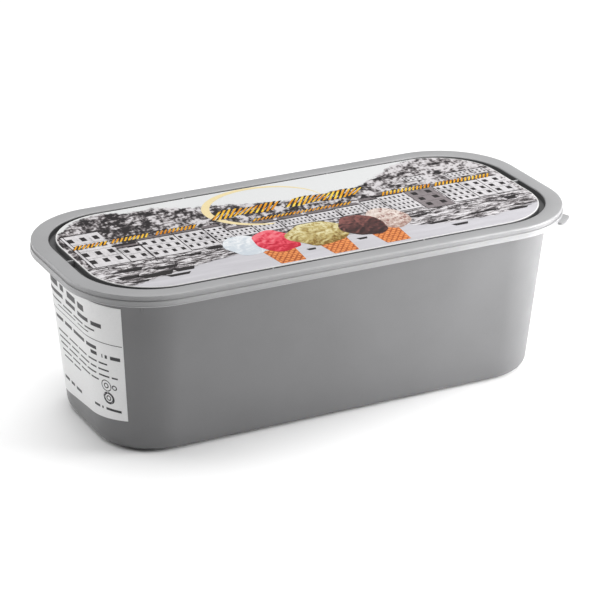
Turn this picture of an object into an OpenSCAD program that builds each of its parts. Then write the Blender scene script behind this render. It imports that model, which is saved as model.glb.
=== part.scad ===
// Five litre ice cream tub, shut: tapered plastic tub, clip-on lid, printed card and end label.
// The base stands on Z = 0 with the origin under its middle; X runs along the tub.

/* [Tub] */
// Length over the flange
tub_l = 363; // [300:1:440]
// Width over the flange
tub_w = 162; // [140:1:200]
// Height to the top of the flange
tub_h = 119.5; // [90:0.5:160]
// Corner radius of the flange
tub_r = 56; // [50:0.5:64]
// How far the flange stands out from the wall
flange_w = 8; // [5:0.5:10]
// Depth of the flange's rolled edge
flange_h = 4.8; // [3:0.1:6]
// Rounding of the flange's lower edge
flange_edge_r = 1; // [0.5:0.1:1.5]
// Corner radius of the wall where it meets the flange
wall_r = 52; // [46:0.5:60]
// Lean of the wall, in degrees
draft = 5.7; // [3:0.1:7]
// Rounding between wall and base
foot_r = 8; // [4:0.5:12]

/* [Stacking lugs] */
// Width of a lug
lug_w = 1.3; // [1:0.1:3]
// How far a lug stands out from the wall
lug_out = 0.9; // [0.5:0.1:2]
// Length of a lug below the flange
lug_l = 9.5; // [4:0.5:16]
// Place of a lug round its corner, from the end wall, in degrees
lug_angle = 60; // [15:1:75]

/* [Lid] */
// Thickness of the lid's rim
lid_t = 1.5; // [1:0.1:2.5]
// Thickness of the lid's skirt
skirt_t = 1.3; // [0.8:0.1:2]
// Height of the lid, from the skirt's lip to the top
skirt_h = 7.8; // [6:0.1:12]
// Gap between the lid and the tub's flange
lid_clear = 0.2; // [0.1:0.05:0.4]
// How far the upper skirt is set back from the lip
step_in = 0.9; // [0.4:0.1:1.2]
// Height of the upper skirt
step_h = 3.9; // [2:0.1:5]
// Rounding of the step between the two
step_edge = 0.4; // [0.2:0.1:0.6]
// Rounding of the rim's outer edge
rim_edge_r = 1.2; // [0.5:0.1:1.5]
// How far the lip's bead stands out
bead_out = 0.3; // [0.2:0.05:0.5]
// Height of the lip's bead
bead_h = 1.2; // [0.8:0.1:2]

/* [Groove and panel] */
// Width of the flat rim
rim_w = 10.6; // [8:0.1:14]
// Corner radius of the rim's inner edge
rim_in_r = 49; // [40:0.5:54]
// Rounding of the rim's inner edge
rim_in_edge_r = 0.8; // [0.4:0.1:1]
// Depth of the groove
groove_h = 5; // [3:0.1:7]
// Thickness of the plastic below the groove
groove_t = 1.2; // [0.8:0.1:2]
// Width of the groove along the two long sides
groove_side = 2.3; // [1.5:0.1:5]
// Width of the groove at the two ends
groove_end = 5.2; // [2:0.1:9]
// Corner radius of the raised panel
panel_r = 45.5; // [36:0.5:50]
// Width of a nub that crosses the groove
nub_w = 1; // [0.8:0.1:2]
// How far the nubs lie below the rim
nub_drop = 0.6; // [0.2:0.1:2]
// Distance along the lid from its middle to the nubs of the long sides
nub_x = 56; // [20:1:90]

/* [Pull tab] */
// Width of the pull tab
tab_w = 17; // [12:0.5:24]
// How far the tab stands out from the lip
tab_out = 4.5; // [3:0.5:8]
// Rounding of the tab's two corners
tab_corner_r = 3.5; // [1:0.5:4]
// Thickness of the tab
tab_t = 1.6; // [1:0.1:3]
// Place of the tab round its corner, from the long side, in degrees
tab_angle = 46; // [30:1:60]

/* [Printed card] */
// Thickness of the card
card_t = 0.3; // [0.2:0.05:1]
// Width of bare panel left round the card
card_edge = 0.3; // [0.1:0.1:2]
// How far the card's face lies below the rim
card_drop = 0.2; // [0:0.05:1]

/* [End label] */
// Thickness of the label
label_t = 0.25; // [0.15:0.05:0.5]
// How far the label wraps round the two corners, in degrees
label_wrap = 44.5; // [10:0.5:80]
// Gap between the label's top edge and the lid's lip
label_gap = 7.1; // [4:0.1:30]
// Height of the label's lower edge, in the middle of the end wall
label_low = 18.2; // [14:0.1:60]
// Slant of the label's lower edge, in degrees
label_slant = 5.4; // [-6:0.1:6]

/* [Hidden] */
$fn = 96;
edge_steps = 5;
cut_over = 1;

// Heights
flange_z = tub_h - flange_h;
lid_top = tub_h + lid_t;
lip_z = lid_top - skirt_h;
groove_z = lid_top - groove_h;
plug_z = groove_z - groove_t;
card_z = lid_top - card_drop - card_t;

// The lid's outlines follow the flange
lid_grow = 2 * (lid_clear + skirt_t);
lid_l = tub_l + lid_grow;
lid_w = tub_w + lid_grow;
lid_r = tub_r + lid_grow / 2;
top_l = lid_l - 2 * step_in;
top_w = lid_w - 2 * step_in;
well_l = top_l - 2 * rim_w;
well_w = top_w - 2 * rim_w;
panel_l = well_l - 2 * groove_end;
panel_w = well_w - 2 * groove_side;
card_l = panel_l - 2 * card_edge;
card_w = panel_w - 2 * card_edge;
card_r = panel_r - card_edge;

// The plug is the underside of the groove, seated in the tub's mouth
plug_l = well_l + 2 * groove_t;
plug_w = well_w + 2 * groove_t;
plug_r = rim_in_r + groove_t;

// The wall's outline where it meets the flange
wall_l = tub_l - 2 * flange_w;
wall_w = tub_w - 2 * flange_w;

// Points along an arc from angle a to angle b
function arc(x, z, r, a, b) = [
    for (i = [0 : edge_steps])
        let (t = a + (b - a) * i / edge_steps)
        [x + r * cos(t), z + r * sin(t)]
];

// How far the wall at height z lies outside its outline at the flange
function wall_off(z) = -tan(draft) * (flange_z - z);

// Turns and centres of the four corners of a rounded rectangle
module at_corners(l, w, r) {
    for (turn = [0, 180]) {
        rotate(turn) translate([l / 2 - r, w / 2 - r, 0]) children();
        rotate(turn) translate([r - l / 2, w / 2 - r, 0]) rotate(90) children();
    }
}

// A flat profile, drawn from the corner's centre outwards, swept round a rounded rectangle
module sweep_round(l, w, r) {
    at_corners(l, w, r) rotate_extrude(angle = 90) children();
    for (turn = [0, 180]) {
        rotate(turn) translate([r - l / 2, w / 2 - r, 0])
            rotate([90, 0, 90]) linear_extrude(l - 2 * r) children();
        rotate(turn) translate([l / 2 - r, w / 2 - r, 0])
            rotate([90, 0, 0]) linear_extrude(w - 2 * r) children();
    }
}

// A block between the four corner centres, which fills a swept solid
module core(l, w, r, z_low, z_high) {
    translate([r - l / 2, r - w / 2, z_low]) cube([l - 2 * r, w - 2 * r, z_high - z_low]);
}

// A rounded rectangle with square edges
module slab(l, w, r, z_low, z_high) {
    translate([0, 0, z_low]) linear_extrude(z_high - z_low) {
        square([l - 2 * r, w], center = true);
        square([l, w - 2 * r], center = true);
        for (x = [-1, 1], y = [-1, 1]) translate([x * (l / 2 - r), y * (w / 2 - r)]) circle(r);
    }
}

// Tapered wall and base, rounded at the foot
module tub_wall() {
    foot_x = wall_r + wall_off(foot_r) - foot_r / cos(draft);
    sweep_round(wall_l, wall_w, wall_r) polygon(concat(
        [[0, 0]],
        arc(foot_x, foot_r, foot_r, -90, -draft),
        [[wall_r, flange_z], [0, flange_z]]
    ));
    core(wall_l, wall_w, wall_r, 0, flange_z);
}

// Rolled flange round the mouth
module tub_flange() {
    sweep_round(tub_l, tub_w, tub_r) polygon(concat(
        [[0, flange_z]],
        arc(tub_r - flange_edge_r, flange_z + flange_edge_r, flange_edge_r, -90, 0),
        [[tub_r, tub_h], [0, tub_h]]
    ));
    core(tub_l, tub_w, tub_r, flange_z, tub_h);
}

// Small upright lug below the flange, on one corner
module lug() {
    lug_z = flange_z - lug_l;
    translate([wall_r - wall_l / 2, wall_r - wall_w / 2, 0])
        rotate([90, 0, 180 + lug_angle])
        translate([0, 0, -lug_w / 2])
        linear_extrude(lug_w)
        polygon([
            [wall_r + wall_off(lug_z) - lug_out, lug_z],
            [wall_r + wall_off(lug_z) + lug_out / 2, lug_z],
            [wall_r + wall_off(lug_z) + lug_out, lug_z + lug_out],
            [wall_r + lug_out, flange_z],
            [wall_r - lug_out, flange_z]
        ]);
}

module tub() {
    color([0.47, 0.47, 0.48]) {
        difference() {
            union() {
                tub_wall();
                tub_flange();
            }
            slab(plug_l + 2 * lid_clear, plug_w + 2 * lid_clear, plug_r + lid_clear,
                plug_z, tub_h + cut_over);
        }
        for (turn = [0, 180]) rotate(turn) lug();
    }
}

// Rim plate and skirt: a set-back upper wall over a prouder lower wall with a beaded lip
module lid_shell() {
    step_z = lid_top - step_h;
    inner = lid_r - skirt_t;
    face = lid_r - bead_out;
    sweep_round(lid_l, lid_w, lid_r) polygon(concat(
        [
            [0, tub_h],
            [inner, tub_h],
            [inner, lip_z],
            [face, lip_z],
            [lid_r, lip_z + bead_out],
            [lid_r, lip_z + bead_h - bead_out],
            [face, lip_z + bead_h],
            [face, step_z - step_edge],
            [face - step_edge, step_z],
            [lid_r - step_in, step_z]
        ],
        arc(lid_r - step_in - rim_edge_r, lid_top - rim_edge_r, rim_edge_r, 0, 90),
        [[0, lid_top]]
    ));
    core(lid_l, lid_w, lid_r, tub_h, lid_top);
}

// Rim's inner edge and the groove's outer wall, as the shape that is cut away
module well_cut() {
    sweep_round(well_l, well_w, rim_in_r) polygon(concat(
        [[0, groove_z], [rim_in_r, groove_z]],
        arc(rim_in_r + rim_in_edge_r, lid_top - rim_in_edge_r, rim_in_edge_r, 180, 90),
        [[rim_in_r + rim_in_edge_r, lid_top + cut_over], [0, lid_top + cut_over]]
    ));
    core(well_l, well_w, rim_in_r, groove_z, lid_top + cut_over);
}

// Bridge across the groove, from the rim to the panel, along +Y of its own place
module nub(gap) {
    translate([-nub_w / 2, -gap - card_edge / 2, groove_z])
        cube([nub_w, gap + card_edge, lid_top - nub_drop - groove_z]);
}

module nubs() {
    for (turn = [0, 180]) rotate(turn) {
        for (x = [-nub_x, nub_x]) translate([x, well_w / 2, 0]) nub(groove_side);
        translate([well_l / 2, 0, 0]) rotate(-90) nub(groove_end);
    }
}

// Tab with rounded corners at the lip, on one corner of the lid
module pull_tab() {
    root = lid_r - skirt_t / 2;
    tip = lid_r + tab_out - tab_corner_r;
    translate([lid_l / 2 - lid_r, lid_r - lid_w / 2, lip_z]) rotate(tab_angle - 90)
        intersection() {
            linear_extrude(tab_t) {
                translate([0, -tab_w / 2]) square([tip, tab_w]);
                translate([0, tab_corner_r - tab_w / 2])
                    square([lid_r + tab_out, tab_w - 2 * tab_corner_r]);
                for (y = [-1, 1]) translate([tip, y * (tab_w / 2 - tab_corner_r)]) circle(tab_corner_r);
            }
            difference() {
                cylinder(h = tab_t, r = 2 * lid_r);
                translate([0, 0, -cut_over]) cylinder(h = tab_t + 2 * cut_over, r = root);
            }
        }
}

module lid() {
    color([0.68, 0.68, 0.69]) {
        difference() {
            union() {
                lid_shell();
                slab(plug_l, plug_w, plug_r, plug_z, tub_h);
            }
            well_cut();
        }
        slab(panel_l, panel_w, panel_r, groove_z, card_z);
        nubs();
        pull_tab();
    }
}

module lid_card() {
    color([0.86, 0.85, 0.86]) slab(card_l, card_w, card_r, card_z, card_z + card_t);
}

// Skin on the wall, as thick as the label, all the way round the tub
module wall_skin(z_low, z_high) {
    thick = label_t / cos(draft);
    sweep_round(wall_l, wall_w, wall_r) polygon([
        [wall_r + wall_off(z_low), z_low],
        [wall_r + wall_off(z_low) + thick, z_low],
        [wall_r + wall_off(z_high) + thick, z_high],
        [wall_r + wall_off(z_high), z_high]
    ]);
}

// Wedge that holds the end wall and part of the corners on both sides of it
module end_wedge() {
    reach = 2 * wall_r;
    corner_x = wall_r - wall_l / 2;
    corner_y = wall_w / 2 - wall_r;
    linear_extrude(lid_top) polygon([
        [corner_x, -corner_y],
        [corner_x, corner_y],
        [corner_x - reach * cos(label_wrap), corner_y + reach * sin(label_wrap)],
        [corner_x - reach * cos(label_wrap), -corner_y - reach * sin(label_wrap)]
    ]);
}

module end_label() {
    slant_rise = tan(abs(label_slant)) * wall_w / 2;
    color([0.85, 0.85, 0.84]) difference() {
        intersection() {
            wall_skin(label_low - slant_rise, lip_z - label_gap);
            end_wedge();
        }
        translate([-wall_l, 0, label_low]) rotate([-label_slant, 0, 0])
            translate([0, -wall_w, -wall_w]) cube([wall_l, 2 * wall_w, wall_w]);
    }
}

tub();
lid();
lid_card();
end_label();
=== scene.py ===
"""Shut five litre ice cream tub: grey plastic tub and lid, printed lid card and a paper end label."""
import math

import bpy
from bpy.props import FloatProperty, FloatVectorProperty, IntProperty, PointerProperty
from mathutils import Matrix, Vector


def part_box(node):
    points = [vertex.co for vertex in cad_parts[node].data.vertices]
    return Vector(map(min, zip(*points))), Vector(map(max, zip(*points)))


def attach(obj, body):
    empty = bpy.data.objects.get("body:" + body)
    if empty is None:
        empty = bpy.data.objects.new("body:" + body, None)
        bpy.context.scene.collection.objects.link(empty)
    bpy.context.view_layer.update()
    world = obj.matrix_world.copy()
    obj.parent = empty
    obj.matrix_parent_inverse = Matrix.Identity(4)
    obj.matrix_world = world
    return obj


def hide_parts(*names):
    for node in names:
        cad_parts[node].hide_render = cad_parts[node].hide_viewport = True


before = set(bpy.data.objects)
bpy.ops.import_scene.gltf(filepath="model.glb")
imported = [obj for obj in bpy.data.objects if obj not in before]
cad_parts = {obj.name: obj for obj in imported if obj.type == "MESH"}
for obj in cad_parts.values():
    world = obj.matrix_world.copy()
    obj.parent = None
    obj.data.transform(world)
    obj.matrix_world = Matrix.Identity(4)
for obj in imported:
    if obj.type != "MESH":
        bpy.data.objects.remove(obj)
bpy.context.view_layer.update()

bl_info = {
    "name": "Ice cream tub",
    "version": (1, 0, 0),
    "blender": (4, 5, 0),
    "location": "View3D > Sidebar > Ice Cream Tub",
    "description": "Builds a shut five litre ice cream tub round its CAD frame",
    "category": "Object",
}

MM = 0.001
HAIR = 0.02 * MM            # least step in height between two loops of a skin
CORNER_CUTS = 24            # segments in the corner of a rounded rectangle
MARK_RADIUS = 50 * MM       # radius at which places round the label's corners are measured
MARK_LIFT = 0.008 * MM      # gap between the label and the underside of a ring printed on it
PRINT_STRENGTH = 0.79       # share of its brightness that the card's print keeps

TUB_LOW, TUB_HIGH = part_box("tub")
LID_LOW, LID_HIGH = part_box("lid")
CARD_LOW, CARD_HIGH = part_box("lid_card")
LABEL_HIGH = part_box("end_label")[1]


# ---------------------------------------------------------------- properties

def millimetres(name, description, value):
    """A length property, given in millimetres and kept in metres."""
    return FloatProperty(name=name, description=description, default=value * MM, unit="LENGTH")


def span(name, description, low, high, axis):
    """A length property whose default is the CAD frame's own size along one axis."""
    return FloatProperty(name=name, description=description, default=high[axis] - low[axis], unit="LENGTH")


def height(name, description, value):
    """A height property whose default comes from the CAD frame."""
    return FloatProperty(name=name, description=description, default=value, unit="LENGTH")


def degrees(name, description, value):
    """An angle property, given in degrees and kept in radians."""
    return FloatProperty(name=name, description=description, default=math.radians(value), subtype="ANGLE")


def linear(red, green, blue):
    """Screen values from 0 to 255 as the linear colour that a shader takes."""
    return tuple(
        (c / 255 / 12.92 if c / 255 <= 0.04045 else ((c / 255 + 0.055) / 1.055) ** 2.4)
        for c in (red, green, blue)
    )


def paint(name, description, red, green, blue):
    """A colour property, given as screen values from 0 to 255."""
    return FloatVectorProperty(
        name=name, description=description, subtype="COLOR", size=3,
        min=0, max=1, default=linear(red, green, blue),
    )


def share(name, description, value):
    """A property from 0 to 1."""
    return FloatProperty(name=name, description=description, default=value, min=0, max=1, subtype="FACTOR")


class TubSizes(bpy.types.PropertyGroup):
    """Sizes of the tub's body."""
    length: span("Length", "Length over the flange", TUB_LOW, TUB_HIGH, 0)
    width: span("Width", "Width over the flange", TUB_LOW, TUB_HIGH, 1)
    top: height("Top", "Height of the flange's top", TUB_HIGH[2])
    corner: millimetres("Flange corner", "Corner radius of the flange", 56)
    flange_out: millimetres("Flange width", "How far the flange stands out from the wall", 8)
    flange_deep: millimetres("Flange depth", "Depth of the flange's rolled edge", 4.8)
    flange_edge: millimetres("Flange edge", "Rounding of the flange's lower edge", 1)
    wall_corner: millimetres("Wall corner", "Corner radius of the wall at the flange", 52)
    draft: degrees("Draft", "Lean of the wall", 5.7)
    foot: millimetres("Foot", "Rounding between wall and base", 8)
    recess: millimetres("Base recess", "How far the middle of the base is raised", 0.9)
    lug_width: millimetres("Lug width", "Width of a stacking lug", 1.3)
    lug_out: millimetres("Lug height", "How far a stacking lug stands out", 0.9)
    lug_length: millimetres("Lug length", "Length of a stacking lug below the flange", 9.5)
    lug_turn: degrees("Lug place", "Place of a lug round its corner, from the end wall", 60)


class LidSizes(bpy.types.PropertyGroup):
    """Sizes of the lid, its groove, ribs and pull tab."""
    length: span("Length", "Length over the skirt's lip", LID_LOW, LID_HIGH, 0)
    width: span("Width", "Width over the skirt's lip", LID_LOW, LID_HIGH, 1)
    top: height("Top", "Height of the rim", LID_HIGH[2])
    lip: height("Lip", "Height of the skirt's lower edge", LID_LOW[2])
    corner: millimetres("Corner", "Corner radius at the lip", 57.5)
    thick: millimetres("Thickness", "Thickness of the rim", 1.5)
    skirt: millimetres("Skirt wall", "Thickness of the skirt", 1.3)
    set_back: millimetres("Set-back", "How far the upper skirt is set back from the lip", 0.9)
    step: millimetres("Step", "Height of the upper skirt", 3.9)
    tuck: millimetres("Tuck", "How much further the upper skirt is tucked in", 0.2)
    brow: millimetres("Brow", "How much less than the upper skirt the rim's edge is set back", 0.3)
    rim_edge: millimetres("Rim edge", "Rounding of the rim's outer edge", 1)
    bead_out: millimetres("Bead", "How far the lip's bead stands out", 0.3)
    bead: millimetres("Bead height", "Height of the lip's bead", 1.2)
    rim: millimetres("Rim width", "Width of the flat rim", 10.6)
    rim_corner: millimetres("Rim inner corner", "Corner radius of the rim's inner edge", 49)
    inner_edge: millimetres("Rim inner edge", "Rounding of the rim's inner edge", 0.8)
    groove: millimetres("Groove depth", "Depth of the groove below the rim", 5)
    groove_wall: millimetres("Groove wall", "Thickness of the plastic round the groove", 1.2)
    # Below this depth the groove's walls and floor take a darker copy of the lid's grey: painted shade for
    # the deep groove
    groove_shade: millimetres("Groove shade", "Depth below the rim at which the darker finish starts", 2.2)
    groove_side: millimetres("Groove at sides", "Width of the groove along the long sides", 2.3)
    groove_end: millimetres("Groove at ends", "Width of the groove at the two ends", 5.2)
    panel_corner: millimetres("Panel corner", "Corner radius of the raised panel", 45.5)
    rib: millimetres("Rib", "Thickness of a rib that crosses the groove", 1)
    rib_drop: millimetres("Rib drop", "How far the ribs lie below the rim", 0.6)
    rib_place: millimetres("Rib place", "Distance of the side ribs from the middle", 56)
    tab_width: millimetres("Tab width", "Width of the pull tab", 17)
    tab_out: millimetres("Tab length", "How far the tab stands out", 4.5)
    tab_corner: millimetres("Tab corner", "Rounding of the tab's corners", 3.5)
    tab_thick: millimetres("Tab thickness", "Thickness of the tab", 1.6)
    tab_turn: degrees("Tab place", "Place of the tab round its corner, from the long side", 46)


class CardSizes(bpy.types.PropertyGroup):
    """Sizes of the printed card and of its ink."""
    length: span("Length", "Length of the card", CARD_LOW, CARD_HIGH, 0)
    width: span("Width", "Width of the card", CARD_LOW, CARD_HIGH, 1)
    low: height("Underside", "Height of the card's underside", CARD_LOW[2])
    top: height("Face", "Height of the card's face", CARD_HIGH[2])
    corner: millimetres("Corner", "Corner radius of the card", 45.2)
    border: millimetres("Border", "Width of the white border", 0.55)
    ink: millimetres("Ink", "Step between one layer of ink and the next", 0.018)
    seed: IntProperty(name="Seed", description="Seed of the uneven outlines", default=4)


class LabelSizes(bpy.types.PropertyGroup):
    """Sizes of the end label."""
    top: height("Top", "Height of the label's upper edge", LABEL_HIGH[2])
    thick: millimetres("Thickness", "Thickness of the label's paper", 0.25)
    wrap: degrees("Wrap", "How far the label goes round each corner", 44.5)
    low: millimetres("Lower edge", "Height of the lower edge in the middle of the end", 18.2)
    slant: degrees("Slant", "Slant of the lower edge", 5.4)
    ink: millimetres("Ink", "Thickness of the print", 0.03)


class Finishes(bpy.types.PropertyGroup):
    """Colours and gloss."""
    tub: paint("Tub", "Grey of the tub", 110, 110, 111)
    lid: paint("Lid", "Grey of the lid", 155, 155, 156)
    tub_rough: share("Tub roughness", "Roughness of the tub's plastic", 0.38)
    lid_rough: share("Lid roughness", "Roughness of the lid's plastic", 0.32)
    # Painted shade: share of the lid's grey kept on the groove's lower walls and floor, for the shade of the
    # deep groove
    groove_painted_shade: share("Groove tone", "Share of the lid's grey that is left in the groove", 0.3)
    # Painted shade: share of the lid's grey kept on the upper skirt under the rim's edge, for the shade of
    # the recess
    skirt_painted_shade: share("Skirt tone", "Share of the lid's grey that is left under the rim", 0.82)
    card: paint("Card", "White of the card's border", 224, 223, 222)
    paper: paint("Paper", "White of the end label", 226, 226, 226)
    toner: paint("Label ink", "Black of the end label's print", 52, 52, 54)
    sky: paint("Sky", "Pale ground of the picture", 229, 230, 230)
    water: paint("Water", "Water along the front of the picture", 207, 205, 210)
    shade: paint("Darkest ink", "Darkest tone of the engraving", 34, 29, 31)
    stone: paint("House fronts", "Pale tone of the house fronts", 222, 219, 221)
    gold: paint("Gold", "Gold bars", 245, 176, 26)
    halo: paint("Arc", "Pale gold arc", 240, 222, 172)
    vanilla: paint("White scoop", "White scoop", 214, 221, 227)
    berry: paint("Red scoop", "Red scoop", 230, 72, 92)
    pistachio: paint("Green scoop", "Yellow-green scoop", 206, 190, 130)
    chocolate: paint("Brown scoop", "Dark brown scoop", 84, 52, 50)
    fleck: paint("Flecked scoop", "Cream scoop with flecks", 216, 198, 188)
    wafer: paint("Wafer", "Wafer cones", 216, 134, 74)


class Stage(bpy.types.PropertyGroup):
    """Floor, lights and camera."""
    floor: paint("Floor", "Pale floor", 251, 251, 251)
    side_power: FloatProperty(name="Side light", description="Watts of the light on the right", default=3.7)
    end_power: FloatProperty(name="End light", description="Watts of the light on the left", default=1.9)
    top_power: FloatProperty(name="Top light", description="Watts of the light overhead", default=80)
    ambient: FloatProperty(name="Ambient", description="Strength of the even light", default=0.13)
    lens: FloatProperty(name="Lens", description="Focal length in millimetres", default=152.54)
    camera: FloatVectorProperty(name="Camera", description="Where the camera stands", subtype="TRANSLATION",
                                unit="LENGTH", default=(-0.7318, -1.4266, 0.7518))
    azimuth: degrees("Azimuth", "Direction that the camera looks from", -27.129)
    elevation: degrees("Elevation", "Height of the camera above the horizon", 23.324)
    roll: degrees("Roll", "Tilt of the camera", 0.391)


# ---------------------------------------------------------------- modelling helpers

def clear_selection():
    """Leaves nothing selected, in object mode."""
    if bpy.context.object and bpy.context.object.mode != "OBJECT":
        bpy.ops.object.mode_set(mode="OBJECT")
    bpy.ops.object.select_all(action="DESELECT")


def pick_only(piece):
    """Selects one piece alone and makes it the active one."""
    clear_selection()
    piece.select_set(True)
    bpy.context.view_layer.objects.active = piece


def pick_all():
    bpy.ops.mesh.select_all(action="SELECT")


def pick_none():
    bpy.ops.mesh.select_all(action="DESELECT")


def smooth_faces(kept=35):
    """Smooths the selected piece, but for edges that turn by more than an angle in degrees."""
    bpy.ops.object.shade_smooth_by_angle(angle=math.radians(kept))


def open_piece(name):
    """Starts an empty mesh piece at the origin and leaves it in edit mode."""
    clear_selection()
    bpy.ops.mesh.primitive_plane_add(size=1, location=(0, 0, 0))
    piece = bpy.context.object
    piece.name = piece.data.name = name
    bpy.ops.object.mode_set(mode="EDIT")
    bpy.ops.mesh.delete(type="VERT")
    bpy.context.tool_settings.mesh_select_mode = (True, False, False)
    return piece


def leave_edit(piece):
    """Leaves edit mode and forgets the kept loops."""
    bpy.ops.object.mode_set(mode="OBJECT")
    if piece.vertex_groups:
        bpy.ops.object.vertex_group_remove(all=True)


def close_piece(piece, smooth=35):
    """Turns the faces outwards, leaves edit mode and smooths all but the sharp edges."""
    pick_all()
    bpy.ops.mesh.normals_make_consistent(inside=False)
    leave_edit(piece)
    smooth_faces(smooth)
    return piece


def add_loop(length, width, corner, z):
    """Adds a rounded rectangle of edges to the piece being edited, kept as a vertex group."""
    pick_none()
    bpy.ops.mesh.primitive_plane_add(size=1, location=(0, 0, z))
    bpy.ops.transform.resize(value=(length, width, 1), center_override=(0, 0, z))
    bpy.ops.mesh.bevel(offset=corner, offset_type="OFFSET", segments=CORNER_CUTS, profile=0.5,
                       affect="VERTICES", clamp_overlap=False)
    bpy.ops.object.vertex_group_assign_new()
    bpy.ops.mesh.delete(type="ONLY_FACE")


def add_circle(radius, cuts, place=(0, 0, 0)):
    """Adds a circle of edges to the piece being edited, kept as a vertex group."""
    pick_none()
    bpy.ops.mesh.primitive_circle_add(vertices=cuts, radius=radius, fill_type="NOTHING", location=place)
    bpy.ops.object.vertex_group_assign_new()


def pick_loop(piece, index):
    """Adds a kept loop to the selection."""
    piece.vertex_groups.active_index = index
    bpy.ops.object.vertex_group_select()


def bridge(piece, index):
    """Joins a kept loop to the next one by a band of faces."""
    pick_none()
    pick_loop(piece, index)
    pick_loop(piece, index + 1)
    bpy.ops.mesh.bridge_edge_loops()


def loft(name, loops, first=True, last=True):
    """A skin through rounded rectangles (length, width, corner, z), its ends filled if wanted.

    A loop level with the one before it is raised by a hair, so that the bridge isn't twisted.
    """
    piece, below = open_piece(name), None
    for length, width, corner, z in loops:
        if below is not None and abs(z - below) < 0.9 * HAIR:
            z = below + HAIR
        add_loop(length, width, corner, z)
        below = z
    for index in range(len(loops) - 1):
        bridge(piece, index)
    for index, wanted in ((0, first), (len(loops) - 1, last)):
        if wanted:
            pick_none()
            pick_loop(piece, index)
            bpy.ops.mesh.edge_face_add()
    return piece


def grown(base, profile):
    """Loops that follow one rounded rectangle at the offsets and heights of a profile."""
    length, width, corner = base
    return [(length + 2 * off, width + 2 * off, corner + off, z) for off, z in profile]


def arc(off, z, radius, start, stop, steps=5):
    """Points of a rounded edge, from one angle in degrees to another."""
    turns = [math.radians(start + (stop - start) * i / steps) for i in range(steps + 1)]
    return [(off + radius * math.cos(t), z + radius * math.sin(t)) for t in turns]


def pick(piece, test):
    """Selects the vertices of the piece being edited whose places pass a test."""
    pick_none()
    bpy.ops.object.mode_set(mode="OBJECT")
    for vertex in piece.data.vertices:
        vertex.select = test(vertex.co)
    bpy.ops.object.mode_set(mode="EDIT")


def put(piece, place=(0, 0, 0), turn=(0, 0, 0)):
    """Turns and moves a whole piece and leaves its place in its mesh."""
    pick_only(piece)
    piece.location, piece.rotation_euler = place, turn
    bpy.ops.object.transform_apply(location=True, rotation=True, scale=True)


def copies(shape, places):
    """The shape copied to places (x, y, turn, size along X, size along Y), all in one piece."""
    name, made = shape.name, []
    for x, y, turn, along, across in places:
        pick_only(shape)
        bpy.ops.object.duplicate(linked=False)
        piece = bpy.context.object
        piece.location, piece.rotation_euler, piece.scale = (x, y, 0), (0, 0, turn), (along, across, 1)
        made.append(piece)
    clear_selection()
    bpy.data.objects.remove(shape, do_unlink=True)
    piece = joined(made)
    piece.name = piece.data.name = name
    return piece


def joined(pieces):
    """Pieces made one, with their places in its mesh."""
    clear_selection()
    for piece in pieces:
        piece.select_set(True)
    bpy.context.view_layer.objects.active = pieces[0]
    bpy.ops.object.transform_apply(location=True, rotation=True, scale=True)
    if len(pieces) > 1:
        bpy.ops.object.join()
    return bpy.context.object


def thicken(piece, thick):
    """Gives a skin its thickness, on the outside."""
    bpy.ops.object.modifier_add(type="SOLIDIFY")
    wall = piece.modifiers[-1]
    wall.thickness, wall.offset = thick, 1
    bpy.ops.object.modifier_apply(modifier=wall.name)


def belong(piece, finish, slot, *nodes):
    """Gives a piece its finish and its body, and hides the CAD nodes that it stands for. The slot is not
    used.
    """
    piece.data.materials.clear()
    piece.data.materials.append(finish)
    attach(piece, "root")
    if nodes:
        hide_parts(*nodes)


def lift_sheet(piece, low, thick):
    """Gives a flat sheet its thickness and its height."""
    pick_all()
    bpy.ops.mesh.extrude_region_move(TRANSFORM_OT_translate={"value": (0, 0, thick)})
    pick_all()
    bpy.ops.transform.translate(value=(0, 0, low))
    return close_piece(piece, smooth=20)


# ---------------------------------------------------------------- finishes

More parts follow.
